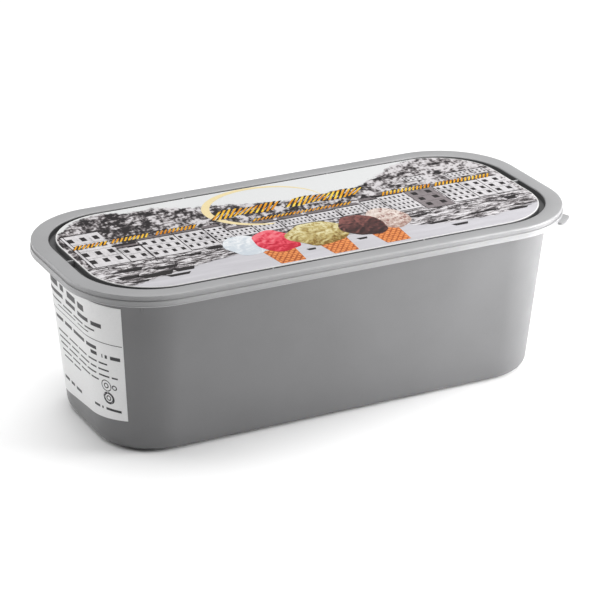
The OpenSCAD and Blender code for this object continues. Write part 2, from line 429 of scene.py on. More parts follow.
class Finish:
    """A material being put together from nodes; places are in millimetres."""

    def __init__(self, name, roughness, specular=0.5):
        self.material = bpy.data.materials.new(name)
        self.material.use_nodes = True
        self.nodes = self.material.node_tree.nodes
        self.links = self.material.node_tree.links
        self.shader = self.nodes["Principled BSDF"]
        self.shader.inputs["Roughness"].default_value = roughness
        self.shader.inputs["Specular IOR Level"].default_value = specular
        where = self.nodes.new("ShaderNodeTexCoord").outputs["Object"]
        self.where = self.add("ShaderNodeVectorMath", where, (1000, 1000, 1000), operation="MULTIPLY")

    def feed(self, socket, value):
        """Links a socket to an output, or sets it to a number, vector or colour."""
        if isinstance(value, bpy.types.NodeSocket):
            self.links.new(value, socket)
        else:
            if socket.type == "RGBA" and len(value) == 3:
                value = (*value, 1)
            socket.default_value = value

    def add(self, kind, *values, **settings):
        """The first output of a new node, with its inputs in order and its settings."""
        node = self.nodes.new(kind)
        for setting, value in settings.items():
            setattr(node, setting, value)
        for index, value in enumerate(values):
            self.feed(node.inputs[index], value)
        return node.outputs[0]

    def math(self, operation, *values):
        return self.add("ShaderNodeMath", *values, operation=operation)

    def axes(self):
        """Outputs for x, y and z."""
        node = self.nodes.new("ShaderNodeSeparateXYZ")
        self.links.new(self.where, node.inputs[0])
        return node.outputs

    def stretched(self, x, y, shift=(0, 0, 0)):
        """Places moved by a shift and then multiplied along x and y."""
        moved = self.add("ShaderNodeVectorMath", self.where, shift, operation="ADD")
        return self.add("ShaderNodeVectorMath", moved, (x, y, 1), operation="MULTIPLY")

    def noise(self, scale, detail=2.0, roughness=0.5, where=None, distortion=0.0):
        node = self.nodes.new("ShaderNodeTexNoise")
        self.feed(node.inputs["Vector"], where or self.where)
        node.inputs["Scale"].default_value = scale
        node.inputs["Detail"].default_value = detail
        node.inputs["Roughness"].default_value = roughness
        node.inputs["Distortion"].default_value = distortion
        return node.outputs[0]

    def ramp(self, value, stops):
        """A colour ramp through (position, colour) stops."""
        node = self.nodes.new("ShaderNodeValToRGB")
        self.links.new(value, node.inputs[0])
        band = node.color_ramp.elements
        while len(band) < len(stops):
            band.new(0.5)
        for element, (position, colour) in zip(band, stops):
            element.position = position
            element.color = (*colour, 1)
        return node.outputs[0]

    def curve(self, value, low, high, bottom, top, points):
        """A line through points (x, y) on the given ranges, read at a value."""
        across = self.add("ShaderNodeMapRange", value, low, high, 0.0, 1.0)
        node = self.nodes.new("ShaderNodeFloatCurve")
        self.links.new(across, node.inputs["Value"])
        line = node.mapping.curves[0].points
        while len(line) < len(points):
            line.new(0.5, 0.5)
        for point, (x, y) in zip(line, points):
            point.location = ((x - low) / (high - low), (y - bottom) / (top - bottom))
            point.handle_type = "VECTOR"
        node.mapping.update()
        return self.add("ShaderNodeMapRange", node.outputs[0], 0.0, 1.0, bottom, top)

    def below(self, y, line, soft):
        """1 where y lies below a line and 0 above it, with a soft edge in millimetres."""
        gap = self.math("SUBTRACT", line, y)
        return self.add("ShaderNodeMapRange", gap, -soft, soft, 0.0, 1.0)

    def mix(self, share_of_b, a, b, blend="MIX"):
        """Two colours mixed, or blended in another way."""
        node = self.nodes.new("ShaderNodeMix")
        node.data_type, node.blend_type = "RGBA", blend
        self.feed(node.inputs[0], share_of_b)
        self.feed(node.inputs[6], a)
        self.feed(node.inputs[7], b)
        return node.outputs[2]

    def colour(self, value, strength=1.0):
        """Gives the surface its colour, at a share of its brightness."""
        if strength < 1:
            value = self.mix(1.0, value, (strength, strength, strength), "MULTIPLY")
        self.feed(self.shader.inputs["Base Color"], value)
        return self

    def bump(self, heights):
        """Surface relief from (value, depth in metres) pairs."""
        normal = None
        for value, depth in heights:
            node = self.nodes.new("ShaderNodeBump")
            node.inputs["Distance"].default_value = depth
            self.links.new(value, node.inputs["Height"])
            if normal:
                self.links.new(normal, node.inputs["Normal"])
            normal = node.outputs[0]
        self.links.new(normal, self.shader.inputs["Normal"])


def scaled(colour, factor):
    """A colour made darker or lighter."""
    return tuple(min(1.0, c * factor) for c in colour)


def plastic(name, colour, roughness):
    """Satin polypropylene: faint mottling, fine grain, slow flow waves and uneven gloss."""
    f = Finish(name, roughness)
    slow = f.noise(0.018, 3, 0.55)
    fine = f.noise(1.6, 4, 0.6)
    tone = f.math("ADD", f.math("MULTIPLY", slow, 0.7), f.math("MULTIPLY", fine, 0.3))
    f.colour(f.ramp(tone, [(0.34, scaled(colour, 0.93)), (0.5, colour), (0.68, scaled(colour, 1.06))]))
    gloss = f.add("ShaderNodeMapRange", f.noise(0.05, 5, 0.6), 0.3, 0.7, roughness - 0.05, roughness + 0.07)
    f.links.new(gloss, f.shader.inputs["Roughness"])
    f.bump([(f.noise(0.02, 1, 0.4), 0.0012), (f.noise(2.4, 3, 0.6), 0.000025)])
    return f.material


def paper(name, colour, roughness=0.55):
    """Coated paper: short fibres in colour and relief."""
    f = Finish(name, roughness, specular=0.35)
    fibre = f.noise(1.1, 6, 0.7, where=f.stretched(1, 0.35))
    f.colour(f.ramp(fibre, [(0.35, scaled(colour, 0.955)), (0.6, colour)]))
    f.bump([(fibre, 0.00002)])
    return f.material


def ink(name, colour, spread):
    """Printed ink: a colour that is a little uneven, as laid on by a press."""
    f = Finish(name, 0.45, specular=0.4)
    grain = f.noise(0.9, 5, 0.7)
    tone = f.ramp(grain, [(0.36, scaled(colour, 1 - spread)), (0.64, scaled(colour, 1 + spread))])
    f.colour(tone, PRINT_STRENGTH).bump([(grain, 0.00001)])
    return f.material


# ---------------------------------------------------------------- tub and lid

def tub_wall(sizes):
    """The wall's outline at the flange, and its height there."""
    grow = 2 * sizes.flange_out
    return (sizes.length - grow, sizes.width - grow, sizes.wall_corner), sizes.top - sizes.flange_deep


def wall_offset(sizes, z):
    """How far the wall at a height lies outside its outline at the flange."""
    return -math.tan(sizes.draft) * (sizes.top - sizes.flange_deep - z)


class TUB_OT_body(bpy.types.Operator):
    """Model the tub: raised base, rounded foot, tapered wall and rolled flange"""
    bl_idname = "ice_cream_tub.body"
    bl_label = "Tub Body"
    bl_options = {"REGISTER", "UNDO"}

    def execute(self, context):
        s, lid, looks = context.scene.tub_sizes, context.scene.lid_sizes, context.scene.finishes
        base, shoulder = tub_wall(s)
        foot = wall_offset(s, s.foot) - s.foot / math.cos(s.draft)
        stand = 5 * MM
        slope = ((2.2, 1), (1.4, 1), (0.7, 0.6), (0, 0))
        profile = [(foot - stand - inward * MM, s.recess * part) for inward, part in slope]
        profile += [(foot - stand / 2, 0)]
        profile += arc(foot, s.foot, s.foot, -90, -math.degrees(s.draft), 8)
        rise = 6
        start = profile[-1][1]
        for i in range(1, rise + 1):
            z = start + (shoulder - 0.8 * MM - start) * i / rise
            profile.append((wall_offset(s, z), z))
        loops = grown(base, profile)
        loops += grown(base, [(0.15 * MM, shoulder - 0.25 * MM), (0.7 * MM, shoulder)])
        outer = (s.length, s.width, s.corner)
        loops += grown(outer, arc(-s.flange_edge, shoulder + s.flange_edge, s.flange_edge, -90, 0))
        loops += grown(outer, [(0, s.top - 0.3 * MM), (-0.3 * MM, s.top)])
        mouth = lid.groove_wall + 0.2 * MM
        loops += grown(well(lid), [(mouth, s.top), (mouth, lid.top - lid.groove - lid.groove_wall)])
        piece = close_piece(loft("TubBody", loops))
        belong(piece, plastic("tub plastic", looks.tub, looks.tub_rough), "tub_plastic", "tub")
        return {"FINISHED"}


class TUB_OT_lugs(bpy.types.Operator):
    """Model one stacking lug and copy it to the corner across"""
    bl_idname = "ice_cream_tub.lugs"
    bl_label = "Stacking Lugs"
    bl_options = {"REGISTER", "UNDO"}

    def execute(self, context):
        s = context.scene.tub_sizes
        base, shoulder = tub_wall(s)
        piece = open_piece("StackingLugs")
        bpy.ops.mesh.primitive_cube_add(size=1, location=(0, 0, 0))
        bpy.ops.transform.resize(value=(2 * s.lug_out, s.lug_width, s.lug_length))
        pick(piece, lambda co: co.x > 0 and co.z < 0)
        bpy.ops.transform.translate(value=(-s.lug_out / 2, 0, -s.lug_out / 2))
        pick_all()
        bpy.ops.mesh.bevel(offset=0.25 * MM, segments=2, affect="EDGES")
        bpy.ops.object.mode_set(mode="OBJECT")
        middle = shoulder - s.lug_length / 2
        out = base[2] + wall_offset(s, middle)
        turn = math.pi + s.lug_turn
        centre = Vector((base[2] - base[0] / 2, base[2] - base[1] / 2, middle))
        place = centre + Vector((math.cos(turn), math.sin(turn), 0)) * out
        put(piece, turn=(0, s.draft, 0))
        put(piece, place, (0, 0, turn))
        piece = copies(piece, [(0, 0, 0, 1, 1), (0, 0, math.pi, 1, 1)])
        smooth_faces()
        belong(piece, bpy.data.materials["tub plastic"], "tub_plastic")
        return {"FINISHED"}


def well(lid):
    """Outline of the rim's inner edge."""
    shrink = 2 * (lid.set_back + lid.rim)
    return lid.length - shrink, lid.width - shrink, lid.rim_corner


def panel(lid):
    """Outline of the raised panel that carries the card."""
    length, width, _ = well(lid)
    return length - 2 * lid.groove_end, width - 2 * lid.groove_side, lid.panel_corner


class TUB_OT_lid(bpy.types.Operator):
    """Model the lid: plug, skirt with its bead and ledge, rounded rim, groove and raised panel"""
    bl_idname = "ice_cream_tub.lid"
    bl_label = "Lid"
    bl_options = {"REGISTER", "UNDO"}

    def execute(self, context):
        s, card, looks = context.scene.lid_sizes, context.scene.card_sizes, context.scene.finishes
        outer, under, floor = (s.length, s.width, s.corner), s.top - s.thick, s.top - s.groove
        soft, chamfer = 0.4 * MM, 0.12 * MM
        plug = tuple(a + b for a, b in zip(well(s), (2 * s.groove_wall, 2 * s.groove_wall, s.groove_wall)))
        loops = grown(plug, [(-soft, floor - s.groove_wall), (0, floor - s.groove_wall + soft), (0, under)])
        face, ledge = -s.bead_out, s.top - s.step
        profile = [(-s.skirt, under), (-s.skirt, s.lip + 0.2 * MM), (-s.skirt + 0.2 * MM, s.lip)]
        profile += [(face - 0.15 * MM, s.lip), (face + chamfer, s.lip + 0.08 * MM)]
        profile += arc(face, s.lip + s.bead / 2, s.bead_out, -50, 50, 6)
        profile += [(face + 0.03 * MM, s.lip + s.bead), (face, s.lip + s.bead + 0.15 * MM)]
        profile += [(face, ledge - soft)]
        profile += arc(face - soft, ledge - soft, soft, 15, 90, 4)
        tuck, brow = s.set_back + s.tuck, s.set_back - s.brow
        profile += [(-tuck, ledge + 0.08 * MM), (-tuck, ledge + soft)]
        profile += arc(-brow - s.rim_edge, s.top - s.rim_edge, s.rim_edge, -20, 90, 9)
        loops += grown(outer, profile)
        loops += grown(well(s), arc(s.inner_edge, s.top - s.inner_edge, s.inner_edge, 90, 180, 6))
        loops += grown(well(s), [(0, floor + soft)] + arc(-soft, floor + soft, soft, 0, -90, 3)[1:])
        loops += grown(panel(s), [(soft, floor), (chamfer, floor + chamfer), (0, floor + soft)])
        loops += grown(panel(s), [(0, card.low - chamfer), (-chamfer, card.low)])
        piece = close_piece(loft("Lid", loops))
        belong(piece, plastic("lid plastic", looks.lid, looks.lid_rough), "lid_plastic", "lid")
        # Copies of the lid's grey with painted shade: one for the deep groove, one for the upper skirt under
        # the rim's edge
        for name, tone, rough in (("in the groove", looks.groove_painted_shade, 0.5),
                                  ("under the rim", looks.skirt_painted_shade, looks.lid_rough)):
            piece.data.materials.append(plastic("lid plastic " + name, scaled(looks.lid, tone), rough))
        length, width, corner = well(s)
        for face in piece.data.polygons:
            x, y, z = face.center
            out = math.hypot(max(abs(x) - length / 2 + corner, 0), max(abs(y) - width / 2 + corner, 0))
            # Faces low in the groove take the painted groove shade
            if out < corner + HAIR and floor - HAIR < z < s.top - s.groove_shade:
                face.material_index = 1
            # Faces of the upper skirt under the rim's edge take the painted shade of the recess
            elif out > corner + s.rim and ledge + HAIR < z < s.top - s.rim_edge - 2 * HAIR:
                face.material_index = 2
        return {"FINISHED"}


class TUB_OT_ribs(bpy.types.Operator):
    """Model the rib that crosses the groove and copy it to its six places"""
    bl_idname = "ice_cream_tub.ribs"
    bl_label = "Groove Ribs"
    bl_options = {"REGISTER", "UNDO"}

    def execute(self, context):
        s = context.scene.lid_sizes
        floor, top, bite = s.top - s.groove, s.top - s.rib_drop, 0.1 * MM
        length, width, _ = well(s)
        piece = open_piece("GrooveRibs")
        bpy.ops.mesh.primitive_cube_add(size=1, location=(0, 0, 0))
        bpy.ops.transform.resize(value=(s.rib, s.groove_side + 2 * bite, top - floor + bite))
        bpy.ops.transform.translate(value=(0, -s.groove_side / 2, (top + floor - bite) / 2))
        bpy.context.tool_settings.mesh_select_mode = (False, True, False)
        pick_all()
        bpy.ops.mesh.bevel(offset=0.2 * MM, segments=2, affect="EDGES")
        bpy.ops.object.mode_set(mode="OBJECT")
        stretch = (s.groove_end + 2 * bite) / (s.groove_side + 2 * bite)
        places = []
        for side in (0, math.pi):
            for x in (-s.rib_place, s.rib_place):
                places.append((x, math.cos(side) * width / 2, side, 1, 1))
            places.append((math.cos(side) * length / 2, 0, side - math.pi / 2, 1, stretch))
        piece = copies(piece, places)
        smooth_faces()
        belong(piece, bpy.data.materials["lid plastic"], "lid_plastic")
        return {"FINISHED"}


class TUB_OT_tab(bpy.types.Operator):
    """Model the pull tab at the lid's lip"""
    bl_idname = "ice_cream_tub.tab"
    bl_label = "Pull Tab"
    bl_options = {"REGISTER", "UNDO"}

    def execute(self, context):
        s = context.scene.lid_sizes
        bite = s.skirt / 2 + 1.2 * MM
        root, reach = s.corner - bite, s.tab_out + bite
        piece = open_piece("PullTab")
        bpy.ops.mesh.primitive_plane_add(size=1, location=(0, 0, 0))
        bpy.ops.transform.resize(value=(reach, s.tab_width, 1))
        bpy.ops.transform.translate(value=(root + reach / 2, 0, s.lip))
        pick(piece, lambda co: co.x > root + reach / 2)
        bpy.ops.mesh.bevel(offset=s.tab_corner, segments=8, affect="VERTICES")
        pick_all()
        bpy.ops.mesh.extrude_region_move(TRANSFORM_OT_translate={"value": (0, 0, s.tab_thick)})
        pick_all()
        bpy.ops.mesh.normals_make_consistent(inside=False)
        pick(piece, lambda co: co.x > root + 0.5 * MM)
        bpy.ops.mesh.bevel(offset=0.35 * MM, segments=3, affect="EDGES")
        close_piece(piece)
        put(piece, turn=(0, 0, s.tab_turn - math.pi / 2))
        put(piece, (s.length / 2 - s.corner, s.corner - s.width / 2, 0))
        belong(piece, bpy.data.materials["lid plastic"], "lid_plastic")
        return {"FINISHED"}


# ---------------------------------------------------------------- printed card

# Lines of the picture as points (x, y) in millimetres: the hills against the sky and the water's edge.
# Then how much paler the woods are along x, and y of the quay's upper edge
PICTURE_X, PICTURE_Y = (-170, 170), (-80, 80)
SKYLINE = (
    (-170, 34), (-158, 46), (-142, 60), (-122, 67), (-100, 60), (-82, 61), (-64, 52), (-46, 48),
    (-20, 40), (0, 33), (30, 35), (60, 36), (78, 46), (95, 57), (112, 67), (170, 74),
)
SHORE = (
    (-170, -66), (-150, -58), (-128, -52), (-96, -44), (-60, -38), (50, -40), (80, -50), (120, -52),
    (150, -46), (170, -40),
)
WOODS_LEAN = (
    (-170, 0.04), (-140, 0.0), (-112, -0.12), (-88, 0.04), (-60, 0.08), (-20, 0.02), (60, 0.08),
    (110, 0.2), (170, 0.18),
)
QUAY_EDGE = -19

# Tones of the engraving over its darkest ink, and those of single fronts and roofs
WOODS = (linear(84, 78, 80), linear(150, 144, 145), linear(218, 214, 216))
QUAY = (linear(96, 90, 92), linear(172, 166, 168), linear(232, 229, 231))
DARK_FRONT, ROOF_TONE = linear(140, 132, 134), linear(122, 114, 116)


def woods_ink(f, x, shade):
    """Wooded hills: tree crowns lit from one side, in clumps."""
    lean = f.curve(x, *PICTURE_X, -1, 1, WOODS_LEAN)
    lit_side = f.noise(0.15, 8, 0.7, where=f.stretched(1, 0.8, (1.1, -1.5, 0)))
    relief = f.math("SUBTRACT", lit_side, f.noise(0.15, 8, 0.7, where=f.stretched(1, 0.8)))
    clumps = f.math("SUBTRACT", f.noise(0.1, 4, 0.65), 0.5)
    tone = f.math("ADD", f.math("MULTIPLY", relief, 2.8), f.math("MULTIPLY", clumps, 2.6))
    tone = f.math("ADD", f.math("ADD", tone, lean), 0.45)
    return f.ramp(tone, list(zip((0.26, 0.42, 0.56, 0.76), (shade, *WOODS))))


def town_picture(looks):
    """The picture's ground: sky, wooded hills, quay and water in an engraver's greys."""
    f = Finish("town picture", 0.42, specular=0.4)
    x, y, _ = f.axes()
    rough = f.math("SUBTRACT", f.noise(0.2, 5, 0.65), 0.5)
    streaks = f.noise(0.5, 8, 0.76, where=f.stretched(0.24, 1), distortion=0.4)
    ripples = f.noise(0.22, 4, 0.6, where=f.stretched(0.12, 1))
    quay = f.ramp(streaks, list(zip((0.44, 0.475, 0.51, 0.55), (looks.shade, *QUAY))))
    water = [(stop, scaled(looks.water, part)) for stop, part in ((0.3, 0.9), (0.6, 1), (0.8, 1.1))]
    skyline = f.curve(x, *PICTURE_X, *PICTURE_Y, SKYLINE)
    shore = f.curve(x, *PICTURE_X, *PICTURE_Y, SHORE)
    picture = looks.sky
    for line, uneven, soft, ground in ((skyline, 16, 0.9, woods_ink(f, x, looks.shade)),
                                       (QUAY_EDGE, 5, 1.2, quay), (shore, 8, 1.5, f.ramp(ripples, water))):
        edge = f.math("ADD", line, f.math("MULTIPLY", rough, uneven))
        picture = f.mix(f.below(y, edge, soft), picture, ground)
    return f.colour(picture, PRINT_STRENGTH).material


class TUB_OT_card(bpy.types.Operator):
    """Model the lid card and the picture printed on it"""
    bl_idname = "ice_cream_tub.card"
    bl_label = "Lid Card"
    bl_options = {"REGISTER", "UNDO"}

    def execute(self, context):
        s, looks = context.scene.card_sizes, context.scene.finishes
        outline, edge = (s.length, s.width, s.corner), 0.06 * MM
        piece = close_piece(loft("LidCard", grown(outline, [(0, s.low), (0, s.top - edge), (-edge, s.top)])))
        belong(piece, paper("card stock", looks.card, 0.4), "printed_card", "lid_card")
        picture = grown(outline, [(-s.border, s.top), (-s.border, s.top + s.ink)])
        belong(close_piece(loft("CardPicture", picture)), town_picture(looks), "printed_card")
        return {"FINISHED"}


def flat_shape(name, corners=4):
    """A flat shape of unit size, left in edit mode: a square, or a circle of more corners."""
    piece = open_piece(name)
    if corners == 4:
        bpy.ops.mesh.primitive_plane_add(size=1, location=(0, 0, 0))
    else:
        bpy.ops.mesh.primitive_circle_add(vertices=corners, radius=0.5, fill_type="NGON", location=(0, 0, 0))
    return piece


def narrowed(name, part, upper):
    """A flat square whose upper or lower edge is drawn in to a part of its length, left in edit mode."""
    piece = flat_shape(name)
    pick(piece, lambda co: (co.y > 0) == upper)
    bpy.ops.transform.resize(value=(part, 1, 1), center_override=(0, 0, 0))
    return piece


def print_shape(card, shape, number, finish, places=()):
    """Prints a flat shape on a layer of ink, at its places (x, y, width, height) in millimetres.

    The picture is the layer below layer 0. Shapes that cross each other lie on different layers.
    """
    piece = lift_sheet(shape, card.top + card.ink * (number + 1), card.ink)
    if places:
        piece = copies(piece, [(x * MM, y * MM, 0, w * MM, h * MM) for x, y, w, h in places])
    belong(piece, finish, "printed_card")


# House fronts: middle x, middle y, width and height in millimetres, then windows across and up
HOUSES = (
    (-147.5, 9, 27, 58, 3, 4), (-126, -8, 16, 24, 2, 2), (-104, -5, 26, 32, 4, 3), (-80, -4, 21, 30, 4, 3),
    (-62, -2, 13, 26, 3, 4), (-46, -5, 17, 13, 5, 2), (-27, -4, 19, 14, 6, 2), (-6, -3, 21, 13, 7, 2),
    (16, -3, 20, 14, 6, 2), (38, -2, 21, 15, 6, 3), (56, 0, 13, 19, 4, 3), (74, -3, 21, 30, 6, 4),
    (119, -3, 20, 33, 4, 4), (137, -3, 15, 31, 2, 3), (153, -2, 17, 32, 2, 3), (106, 33, 15, 9, 4, 2),
    (138, 27, 17, 10, 5, 2), (155, 27, 11, 10, 3, 2),
)
DARK_HOUSE = (97, -4, 22, 36, 2, 3)
ROOFED = HOUSES[1:15]       # all but the tall front at the left and the far ones on the hill
WIDEST, TALLEST = 4.2, 6.5  # most that a window measures

# Dark patches and edges between the houses, and boats: middle x, middle y, width and height
PATCHES = (
    (-127, 9.5, 17, 3), (-121, 4, 12, 2.2), (-158.6, 9, 0.6, 58), (66, 14, 10, 2.5), (128, 15.5, 14, 2.5),
)
BOATS = (
    (-146, -44, 16, 5), (-115, -53, 18, 3.5), (-140, -33, 18, 5), (-118, -38, 20, 4), (-128, -47, 26, 6),
    (-108, -46, 16, 5), (-142, -53, 14, 3), (-74, -22, 16, 4), (-92, -26, 12, 3), (-19, -52, 7, 3),
    (20, -50, 8, 3), (92, -56, 13, 3.5), (80, -47, 18, 2.5), (118, -43, 24, 2.5), (142, -48, 18, 3),
    (74, -30, 16, 2.5), (148, -28, 10, 6),
)

# Posts along the quay: their number, the first one's x, their spacing, and the stretch left free
POSTS, FIRST_POST, POST_STEP, NO_POSTS = 116, -152, 2.7, (-72, 64)


def house_wall(name, colour):
    """House fronts: pale, with the upright strokes of an engraving."""
    f = Finish(name, 0.42, specular=0.4)
    strokes = f.noise(0.5, 5, 0.7, where=f.stretched(1, 0.2))
    patches = f.noise(0.07, 3, 0.6)
    tone = f.math("ADD", f.math("MULTIPLY", strokes, 0.6), f.math("MULTIPLY", patches, 0.4))
    stops = [(stop, scaled(colour, part)) for stop, part in ((0.36, 0.42), (0.44, 0.9), (0.6, 1.08))]
    return f.colour(f.ramp(tone, stops), PRINT_STRENGTH).material


class TUB_OT_town(bpy.types.Operator):
    """Model the town's fronts, roofs, windows, quay posts and boats as flat shapes of ink"""
    bl_idname = "ice_cream_tub.town"
    bl_label = "Town"
    bl_options = {"REGISTER", "UNDO"}

    def execute(self, context):
        s, looks = context.scene.card_sizes, context.scene.finishes
        pale = house_wall("house fronts", looks.stone)
        dim = house_wall("dark house front", DARK_FRONT)
        black = ink("engraving black", looks.shade, 0.3)
        for name, houses, finish in (("HouseFronts", HOUSES, pale), ("DarkHouse", (DARK_HOUSE,), dim)):
            print_shape(s, flat_shape(name), 0, finish, [house[:4] for house in houses])
        windows, eaves, edges = [], [], []
        for x, y, w, h, across, up in HOUSES + (DARK_HOUSE,):
            left, foot, bay, storey = x - w / 2, y - h / 2, w / across, h / (up + 0.4)
            for i in range(across):
                for j in range(up):
                    windows.append((left + bay * (i + 0.5), foot + storey * (j + 0.75),
                                    min(WIDEST, bay * 0.42), min(TALLEST, storey * 0.5)))
            eaves.append((x, y + h / 2 + 0.5, w + 0.6, 1.3))
            edges += [(left, y, 0.6, h), (x, foot, w, 0.9)]
            edges += [(x, foot + storey * (j + 0.2), 0.94 * w, 0.3) for j in range(1, up)]
        roofs = [(x, y + h / 2 + 2.6, w, 4.6) for x, y, w, h, _, _ in ROOFED]
        print_shape(s, narrowed("Roofs", 0.84, upper=True), 0, house_wall("roofs", ROOF_TONE), roofs)
        print_shape(s, flat_shape("Windows"), 1, black, windows)
        print_shape(s, flat_shape("Eaves"), 1, black, (*eaves, *edges, *PATCHES))
        posts = []
        for i in range(POSTS):
            x = FIRST_POST + POST_STEP * i + 1.1 * math.sin(1.7 * i)
            if not NO_POSTS[0] < x < NO_POSTS[1]:
                y, tall = -24 - 5 * math.sin(0.31 * i) ** 2, 2.4 + 1.5 * math.sin(2.3 * i)
                posts.append((x, y, 0.55, tall))
        print_shape(s, flat_shape("QuayPosts"), 1, black, posts)
        print_shape(s, narrowed("Boats", 0.7, upper=False), 1, black, BOATS)
        return {"FINISHED"}


# Scoops: the colour's name, its darkest and lightest tone, its flecks, the size of its folds, its layer
# of ink, its seed, and middle x, middle y, width and height in millimetres
SCOOPS = {
    "White": ("vanilla", (206, 214, 222), (240, 242, 244), None, 0.15, 3, 1, (-55.8, -27, 27, 33)),
    "Red": ("berry", (196, 28, 54), (246, 128, 138), None, 0.15, 4, 2, (-33.8, -29, 29, 36)),
    "Flecked": ("fleck", (178, 150, 138), (238, 226, 218), (150, 104, 96), 0.15, 3, 3, (53.2, -25, 28, 36)),
    "Green": ("pistachio", (128, 96, 34), (232, 224, 180), (176, 152, 84), 0.11, 5, 4, (-2.8, -29, 44, 38)),
    "Brown": ("chocolate", (52, 34, 34), (140, 88, 82), None, 0.15, 6, 5, (31.2, -29, 31, 36)),
}
SMOOTHING_LOSS = 1.06       # smoothing draws a scoop's uneven outline in by this much
CONES = ((-39, -54, 23, 24), (0, -54, 23, 24), (40, -52.5, 23, 24))


def scoop_ink(name, colour, dark, light, fleck, grain):
    """A scoop as printed: lit from above, with soft folds, and flecks if it has any."""
    f = Finish(name, 0.4, specular=0.4)
    _, y, _ = f.axes()
    lit = f.add("ShaderNodeMapRange", y, -48.0, -8.0, 0.0, 1.0)
    folds = f.noise(grain, 4, 0.55, distortion=0.9)
    over = f.noise(grain, 4, 0.55, where=f.stretched(1, 1, (0.9, -1.6, 0)), distortion=0.9)
    relief = f.math("MULTIPLY", f.math("SUBTRACT", over, folds), 2.0)
    tone = f.math("ADD", f.math("MULTIPLY", lit, 0.58), f.math("MULTIPLY", folds, 0.64))
    tone = f.math("ADD", tone, relief)
    shades = f.ramp(tone, [(0.34, linear(*dark)), (0.6, colour), (0.94, linear(*light))])
    if fleck:
        spots = f.noise(0.42, 5, 0.75, where=f.stretched(1, 0.6, (31, 7, 0)))
        shades = f.mix(f.add("ShaderNodeMapRange", spots, 0.53, 0.58, 0.0, 1.0), shades, linear(*fleck))
    return f.colour(shades, PRINT_STRENGTH).material


def wafer_ink(colour):
    """Wafer: two sets of crossed grooves over an uneven crumb."""
    f = Finish("wafer", 0.45, specular=0.35)
    x, y, _ = f.axes()
    rise = f.math("MULTIPLY", y, 0.8)
    waves = [f.math("SINE", f.math("MULTIPLY", f.math(sign, x, rise), 1.5)) for sign in ("ADD", "SUBTRACT")]
    tone = f.math("ADD", f.math("MULTIPLY", f.math("MAXIMUM", *waves), 0.3), f.noise(0.3, 5, 0.7))
    tone = f.ramp(tone, [(0.46, scaled(colour, 1.3)), (0.62, colour), (0.8, linear(168, 84, 38))])
    return f.colour(tone, PRINT_STRENGTH).material


class TUB_OT_scoops(bpy.types.Operator):
    """Model the printed scoops and their wafer cones as flat shapes of ink"""
    bl_idname = "ice_cream_tub.scoops"
    bl_label = "Scoops and Cones"
    bl_options = {"REGISTER", "UNDO"}

    def execute(self, context):
        s, looks = context.scene.card_sizes, context.scene.finishes
        cone = narrowed("WaferCones", 0.78, upper=False)
        pick_all()
        bpy.ops.mesh.bevel(offset=0.04, segments=4, affect="VERTICES")
        print_shape(s, cone, 2, wafer_ink(looks.wafer), CONES)
        for name, (colour, dark, light, fleck, grain, number, seed, (x, y, w, h)) in SCOOPS.items():
            piece = flat_shape(name + "Scoop", 44)
            bpy.ops.transform.vertex_random(offset=0.13, seed=s.seed + seed)
            bpy.ops.mesh.vertices_smooth(factor=0.5, repeat=4)
            grow = SMOOTHING_LOSS * MM
            bpy.ops.transform.resize(value=(grow * w, grow * h, 0), center_override=(0, 0, 0))
            bpy.ops.transform.translate(value=(x * MM, y * MM, 0))
            finish = scoop_ink(name.lower() + " scoop", getattr(looks, colour), dark, light, fleck, grain)
            print_shape(s, piece, number, finish)
        return {"FINISHED"}


# Rows of gold strokes where a pack carries its words: first x, last x, middle y and height, in millimetres,
# then the strokes' spacing and width, and how many widths their upper ends lean over
GOLD_BARS = ((-50, -5, 29, 15), (6, 60, 29, 15))
GOLD_LINES = (
    (-158, -136, 17, 6), (-131, -105, 17.5, 6), (-99, -72, 18, 6), (72, 108, 16.5, 6), (114, 156, 16.5, 6),
    (-30, 42, 11, 4),
)
BAR_STEP, BAR_WIDTH, BAR_LEAN = 4, 1.9, 5.6
LINE_STEP, LINE_WIDTH, LINE_LEAN = 3, 1.5, 2.6
BAR_WAVE = 2.5              # how far the bars' heights swing
EDGE = 1.1                  # how much larger a stroke's dark edge is than its gold

# Pale arc: a ring thinned by an inner circle off its centre, cut by a line, with its size and middle
ARC_INNER, ARC_INNER_AT = 0.93, (0.055, -0.025, 0)
ARC_CUT_AT, ARC_CUT_NORMAL = (0.28, -0.64, 0), (0.55, -0.84, 0)
ARC_SIZE, ARC_AT = (45 * MM, 35 * MM, 1), (-12 * MM, 33 * MM, 0)


